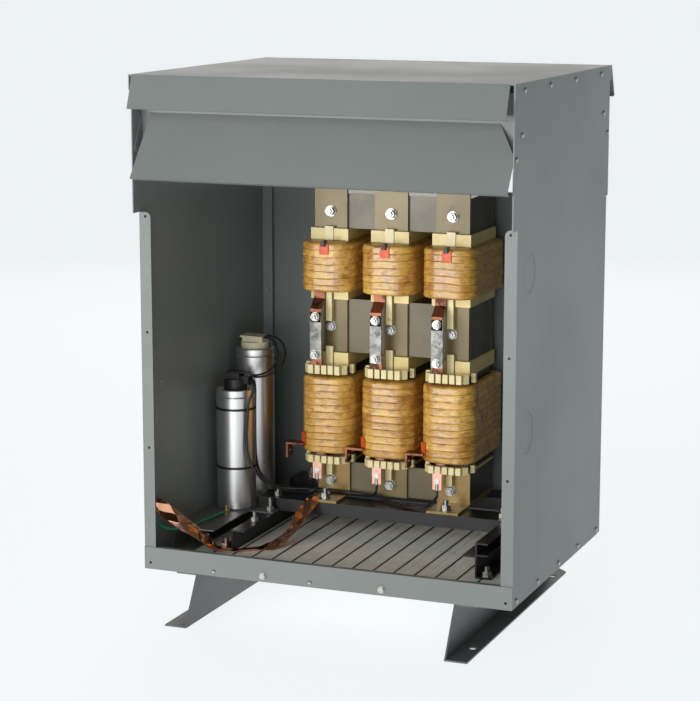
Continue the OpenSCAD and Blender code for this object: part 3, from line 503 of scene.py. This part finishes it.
# ---------------------------------------------------------------- wires
LEAD_ROUTES = {
    "phase_lead_a": [(-268, 10, 392), (-258, 6, 392), (-251, 0, 384), (-254, -6, 370),
                     (-260, -9, 350), (-262, -10, 320), (-264, -11, 290), (-262, -13, 262),
                     (-254, -13, 236), (-240, -9, 214), (-222, 4, 196), (-204, 28, 180),
                     (-188, 56, 171), (-170, 72, 169), (-157, 75, 176), (-152, 71, 187),
                     (-152, 71, 196)],
    "phase_lead_b": [(-276, 26, 392), (-276, 38, 391), (-276, 52, 382), (-277, 60, 366),
                     (-278, 61, 335), (-278, 61, 300), (-278, 61, 262), (-276, 61, 226),
                     (-268, 62, 200), (-250, 66, 182), (-226, 76, 171), (-190, 88, 169),
                     (-150, 94, 169), (-110, 95, 169), (-70, 93, 169), (-45, 84, 171),
                     (-32, 73, 180), (-29, 71, 196)],
    "phase_lead_c": [(-284, 26, 392), (-284, 37, 390), (-284, 50, 379), (-285, 60, 362),
                     (-285, 61, 335), (-285, 61, 300), (-285, 61, 262), (-283, 61, 224),
                     (-275, 64, 196), (-255, 71, 178), (-230, 84, 169), (-190, 95, 169),
                     (-140, 99, 169), (-80, 98, 168), (-30, 88, 167), (10, 66, 165),
                     (46, 48, 165), (70, 46, 167), (86, 56, 174), (93, 69, 184), (93, 71, 196)],
    "loop_lead_a": [(-276, 108, 462), (-262, 106, 463), (-240, 98, 457), (-224, 84, 440),
                    (-222, 70, 420), (-234, 54, 403), (-252, 38, 396), (-268, 28, 396)],
    "loop_lead_b": [(-276, 99, 460), (-262, 96, 460), (-246, 88, 452), (-236, 76, 434),
                    (-238, 64, 415), (-246, 50, 404), (-257, 34, 400), (-268, 20, 401)],
    "green_earth_wire": [(-348, -238, 174), (-340, -228, 160), (-328, -212, 150),
                         (-316, -190, 148), (-308, -160, 147), (-303, -125, 146.5),
                         (-297, -85, 147), (-293, -55, 146)],
}
LEAD_WIDTH = {"phase_lead_a": 5, "phase_lead_b": 5, "phase_lead_c": 5, "loop_lead_a": 4,
              "loop_lead_b": 4, "green_earth_wire": 5}


def lay_wires():
    """Each wire is a round tube on its route."""
    for name, route in LEAD_ROUTES.items():
        line = smooth_curve(np.array(route) * MM, 8)
        width = LEAD_WIDTH[name] * MM
        slot = "earth_green" if name == "green_earth_wire" else "lead_black"
        wire = grid_piece(name + "_wire", tube_points(line, width / 2), MATERIALS[slot],
                          wrap_columns=True, capped=True)
        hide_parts(name)


lay_wires()
dress_nodes()


# ---------------------------------------------------------------- coils
TAPE_WIDTH = 13 * MM
TAPE_STEP = 0.9 * MM
TAPE_UNEVEN = 0.35 * MM
COIL_BULGE = 1.6 * MM
COIL_UNDERSIZE = 2.2 * MM
COIL_EDGE = 5.0 * MM
COIL_FRONT_CORNER = 38 * MM
COIL_REAR_CORNER = 22 * MM
LOWER_NECK = 6 * MM
UPPER_NECK = 1.5 * MM
BORE_HALF_WIDTH = 33.5 * MM
BORE_GAP = 1 * MM


def coil_outline(low, high, count=220):
    """Closed outline of a coil seen from above, a rectangle with round corners that are wider
    at the front. Returns points, outward directions and shares at even steps."""
    front, rear = COIL_FRONT_CORNER, COIL_REAR_CORNER
    corners = ((low.x + front, low.y + front, front), (high.x - front, low.y + front, front),
               (high.x - rear, high.y - rear, rear), (low.x + rear, high.y - rear, rear))
    bends = []
    for turn, (x, y, radius) in enumerate(corners):
        angle = np.pi + np.pi / 2 * (turn + np.linspace(0, 1, 28))
        bends.append(np.stack([x + radius * np.cos(angle), y + radius * np.sin(angle)], -1))
    path = np.vstack([*bends, bends[0][:1]])
    run = np.concatenate([[0], np.cumsum(np.linalg.norm(np.diff(path, axis=0), axis=1))])
    even = np.linspace(0, run[-1], count, endpoint=False)
    points = np.stack([np.interp(even, run, path[:, k]) for k in (0, 1)], -1)
    ahead = np.roll(points, -1, 0) - np.roll(points, 1, 0)
    ahead /= np.linalg.norm(ahead, axis=1, keepdims=True)
    return points, np.stack([ahead[:, 1], -ahead[:, 0]], -1), even / run[-1]


def wind_coil(node, seed):
    """A taped coil. Rows go up the wall, over the rounded edges and in to the leg; the wall
    stands out by a small step at each turn of tape and wavers slowly round the coil."""
    low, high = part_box(node)
    neck = LOWER_NECK if node.startswith("lower") else UPPER_NECK
    bottom, top = low.z + neck, high.z - neck
    points, outward, share = coil_outline(low, high)
    rng = np.random.default_rng(seed)
    turns = max(3, round((top - bottom) / TAPE_WIDTH))
    rise = np.linspace(0, 1, turns * 12 + 1)
    angle = 2 * np.pi * share
    waver = sum(rng.uniform(0.2, 1.0) * np.sin(k * angle + rng.uniform(0, 6.3)) for k in (1, 2, 3, 5, 8))
    slope = 0.045 * waver[None, :] + 0.22 * np.sin(angle + rng.uniform(0, 6))[None, :]
    count = rise[:, None] * turns + slope * np.sin(np.pi * rise)[:, None] ** 0.5
    across = count - np.floor(count)
    lap = TAPE_STEP * np.clip((1 - across) * 1.15, 0, 1) ** 1.6
    bulge = COIL_BULGE * np.sin(np.pi * rise)[:, None] * (0.6 + 0.4 * np.sin(2 * angle + seed))[None, :]
    own = rng.uniform(-1, 1, turns + 4) * TAPE_UNEVEN
    swell = own[np.clip(np.floor(count).astype(int) + 1, 0, turns + 3)]
    edge = np.minimum(rise, 1 - rise)[:, None] * (top - bottom)
    rounded = COIL_EDGE - np.sqrt(np.clip(COIL_EDGE**2 - np.clip(COIL_EDGE - edge, 0, None) ** 2, 0, None))
    inset = -COIL_UNDERSIZE - rounded + lap + bulge * 0.5 + swell
    wall_xy = points[None] + outward[None] * inset[..., None]
    wall = np.concatenate([wall_xy, np.broadcast_to((bottom + rise * (top - bottom))[:, None, None],
                                                    (*inset.shape, 1))], -1)
    middle = np.array([(low.x + high.x) / 2, (low.y + high.y) / 2])
    leg_low, leg_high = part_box("core_legs")
    half = np.array([BORE_HALF_WIDTH, (leg_high.y - leg_low.y) / 2 + BORE_GAP])
    leg_middle = np.array([middle[0], (leg_low.y + leg_high.y) / 2])
    ray = points - leg_middle
    reach = np.min(half / np.maximum(np.abs(ray), 1e-9), axis=1)
    bore = leg_middle + ray * reach[:, None]
    cover = []
    for level, lift, end in ((top, 1, wall[-1]), (bottom, -1, wall[0])):
        for inward, rise_by in ((0.12, 0.6), (0.35, 1.2), (0.7, 1.0), (1.0, 0.0)):
            ring = end[:, :2] * (1 - inward) + bore * inward
            height = level + lift * rise_by * MM * (1 + 0.3 * np.sin(5 * angle + seed))
            cover.append(np.concatenate([ring, np.broadcast_to(height[:, None], (len(ring), 1))], -1))
    upper, lower = np.array(cover[:4]), np.array(cover[4:])
    grid = np.concatenate([lower[::-1], wall, upper])
    coil = grid_piece(node + "_taped", grid[:, ::-1], MATERIALS["coil_tape"],
                      wrap_rows=True, wrap_columns=True)
    # the tops are taped too: their turns run inward
    cap = np.linspace(0.15, 3.2, 4)[:, None] + 0 * angle[None, :]
    value = np.concatenate([-cap[::-1] - 1, count + 4 * seed, turns + 4 * seed + cap + 1])
    add_attribute(coil, "turn", value[:, ::-1])
    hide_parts(node)


for index, level in enumerate(("lower", "upper")):
    for letter_index, letter in enumerate("abc"):
        wind_coil(f"{level}_coil_{letter}", seed=11 + 7 * index + 3 * letter_index)


# ---------------------------------------------------------------- expanded floor mesh
BAR_PITCH = 40 * MM
SLAT_PITCH = 5.2 * MM


def strips(paths, corners):
    """Prisms along straight or zigzag paths: every corner of the section moves along the path."""
    count, steps = paths.shape[:2]
    points = paths[:, :, None, :] + corners
    one = faces_of_grid(steps, 4, False, True)
    size = steps * 4
    ends = np.array([[0, 3, 2, 1], [size - 4, size - 3, size - 2, size - 1]])
    faces = (np.vstack([one, ends])[None] + (np.arange(count) * size)[:, None, None]).reshape(-1, 4)
    return points, faces


def expand_floor():
    """The open floor: slats side by side, each tilted so that its rear edge stands up, dipping
    a little at every crossing bar, and near-black bars under them that run front to rear; their colour is
    painted shade, the dark lines along the mesh's knuckles."""
    low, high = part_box("floor_mesh")
    rows = int((high.y - low.y) / SLAT_PITCH)
    bars = int((high.x - low.x) / BAR_PITCH)
    x = np.linspace(low.x, high.x, bars * 8 + 1)
    y = low.y + (np.arange(rows) + 0.5) * SLAT_PITCH
    dip = np.cos(2 * np.pi * (x - low.x) / BAR_PITCH) ** 8
    path = np.stack(np.broadcast_arrays(x[None, :], y[:, None] + 0.5 * MM * dip[None, :],
                                        high.z - 1.6 * MM - 0.7 * MM * dip[None, :]), -1)
    corners = np.array([(0, -2.1, -0.75), (0, 2.1, 0.35), (0, 2.1, 0.95), (0, -2.1, -0.15)]) * MM
    points, faces = strips(path, corners[::-1])
    slats = make_piece("floor_slats", points, faces, MATERIALS["galvanised_mesh"],
                       smooth=False)
    # the dark bars are painted shade: the shadow lines along the mesh's knuckles
    shade_bar_x = low.x + np.arange(1, bars) * BAR_PITCH
    ends = np.array([low.y, high.y])
    path = np.stack(np.broadcast_arrays(shade_bar_x[:, None], ends[None, :], high.z - 0.9 * MM), -1)
    corners = np.array([(-1.1, 0, -1.6), (1.1, 0, -1.6), (1.1, 0, 0.85), (-1.1, 0, 0.85)]) * MM
    points, faces = strips(path, corners[::-1])
    make_piece("floor_knuckle_shade_bars", points, faces, MATERIALS["knuckle_shade_bar"], smooth=False)
    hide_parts("floor_mesh")


expand_floor()


# ---------------------------------------------------------------- creased copper strap
STRAP_POINTS = [(-348, -234, 203), (-340, -220, 192), (-326, -202, 172), (-310, -186, 153),
                (-294, -174, 139), (-280, -164, 126), (-272, -152, 112), (-262, -138, 101),
                (-238, -128, 98), (-210, -112, 98), (-188, -90, 98.5), (-172, -72, 104),
                (-160, -52, 117), (-154, -28, 132), (-152, -4, 145), (-148, 18, 157),
                (-142, 40, 168)]
STRAP_SIDES = [(0.5, 0.4, 0.8), (0.5, 0.4, 0.8), (0.45, 0.5, 0.75), (0.4, 0.6, 0.65),
               (0.25, 0.8, 0.5), (0, 0.9, 0.3), (-0.3, 1, 0.1), (-0.5, 1, 0), (-0.4, 1, 0),
               (-0.6, 0.9, 0), (-0.75, 0.7, 0), (-0.85, 0.5, 0), (-0.95, 0.3, 0), (-1, 0.1, 0),
               (-1, 0, 0), (-1, 0.1, 0), (-1, 0.1, 0)]
STRAP_WIDTH = 26 * MM
STRAP_THICKNESS = 0.6 * MM
SIDE_SHEET = 2 * MM
STRAP_CLEAR_OF_PANEL = 0.8 * MM


def lay_strap():
    """A foil ribbon on its route: a point is the middle line plus a share of the width, with
    straight creases at slanted angles that tip the foil alternately up and down. It lies flat
    against the side panel where it would reach it."""
    line = smooth_curve(np.array(STRAP_POINTS) * MM, 14)
    wish = smooth_curve(STRAP_SIDES, 14)
    along = headings(line)
    side = wish - along * np.sum(wish * along, axis=1, keepdims=True)
    side /= np.linalg.norm(side, axis=1, keepdims=True)
    face = np.cross(along, side)
    run = np.concatenate([[0], np.cumsum(np.linalg.norm(np.diff(line, axis=0), axis=1))])
    across = np.linspace(-0.5, 0.5, 21)
    folds = np.zeros((len(line), len(across)))
    for spacing, slant, depth in ((118, 0.55, 3.0), (73, -0.8, 1.6), (23, 0.3, 0.25)):
        phase = run[:, None] / (spacing * MM) + slant * across[None, :]
        folds += depth * MM * (2 * np.abs(2 * (phase - np.floor(phase + 0.5))) - 1)
    shaped = line[:, None] + side[:, None] * (across * STRAP_WIDTH)[None, :, None]
    shaped = shaped + face[:, None] * folds[..., None]
    panel_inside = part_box("left_side_panel")[0].x + SIDE_SHEET
    shaped[..., 0] = np.maximum(shaped[..., 0], panel_inside + STRAP_CLEAR_OF_PANEL)
    strap = grid_piece("creased_strap", shaped, MATERIALS["copper_strap"])
    thick = strap.modifiers.new("thickness", "SOLIDIFY")
    thick.thickness = STRAP_THICKNESS
    thick.offset = 0.0
    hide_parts("bonding_strap")


lay_strap()


# ---------------------------------------------------------------- stage and light
FLOOR_GLOW = 0.84


def plain_floor():
    """A wide pale floor that also gives off a little of the studio's light."""
    material, _, shader = new_material("studio_floor", (0.22, 0.23, 0.24), 0.7)
    shader.inputs["Emission Color"].default_value = (0.95, 0.985, 1.0, 1.0)
    shader.inputs["Emission Strength"].default_value = FLOOR_GLOW
    size = 60.0
    mesh = bpy.data.meshes.new("studio_floor")
    mesh.from_pydata([(-size, -size, 0), (size, -size, 0), (size, size, 0), (-size, size, 0)], [],
                     [(0, 1, 2, 3)])
    mesh.materials.append(material)
    floor = bpy.data.objects.new("studio_floor", mesh)
    bpy.context.scene.collection.objects.link(floor)


def area_light(name, place, target, size, power, colour=(1, 1, 1)):
    data = bpy.data.lights.new(name, "AREA")
    data.shape = "RECTANGLE"
    data.size, data.size_y = size
    data.energy = power
    data.color = colour
    light = bpy.data.objects.new(name, data)
    light.location = place
    toward = np.array(target) - np.array(place)
    light.rotation_euler = Vector(toward).to_track_quat("-Z", "Y").to_euler()
    bpy.context.scene.collection.objects.link(light)


def studio_light():
    area_light("key", (-1.75, -4.2, 0.7), (0, 0, 0.5), (2.4, 1.5), 100, (1.0, 0.985, 0.96))
    area_light("front_low", (0.6, -4.6, 0.55), (0, 0, 0.4), (2.4, 0.8), 30)
    area_light("front_high", (0.3, -4.4, 2.2), (0, 0, 0.3), (2.4, 1.0), 34)
    area_light("rear_top", (-1.6, 4.0, 1.75), (0, 0, 1.0), (3.4, 1.3), 26, (1.0, 0.965, 0.92))
    world = bpy.data.worlds.new("studio_air")
    world.use_nodes = True
    sky = world.node_tree.nodes["Background"]
    sky.inputs["Color"].default_value = (0.86, 0.93, 1.0, 1.0)
    sky.inputs["Strength"].default_value = 0.19
    bpy.context.scene.world = world
    bpy.context.scene.view_settings.view_transform = "Standard"


plain_floor()
studio_light()
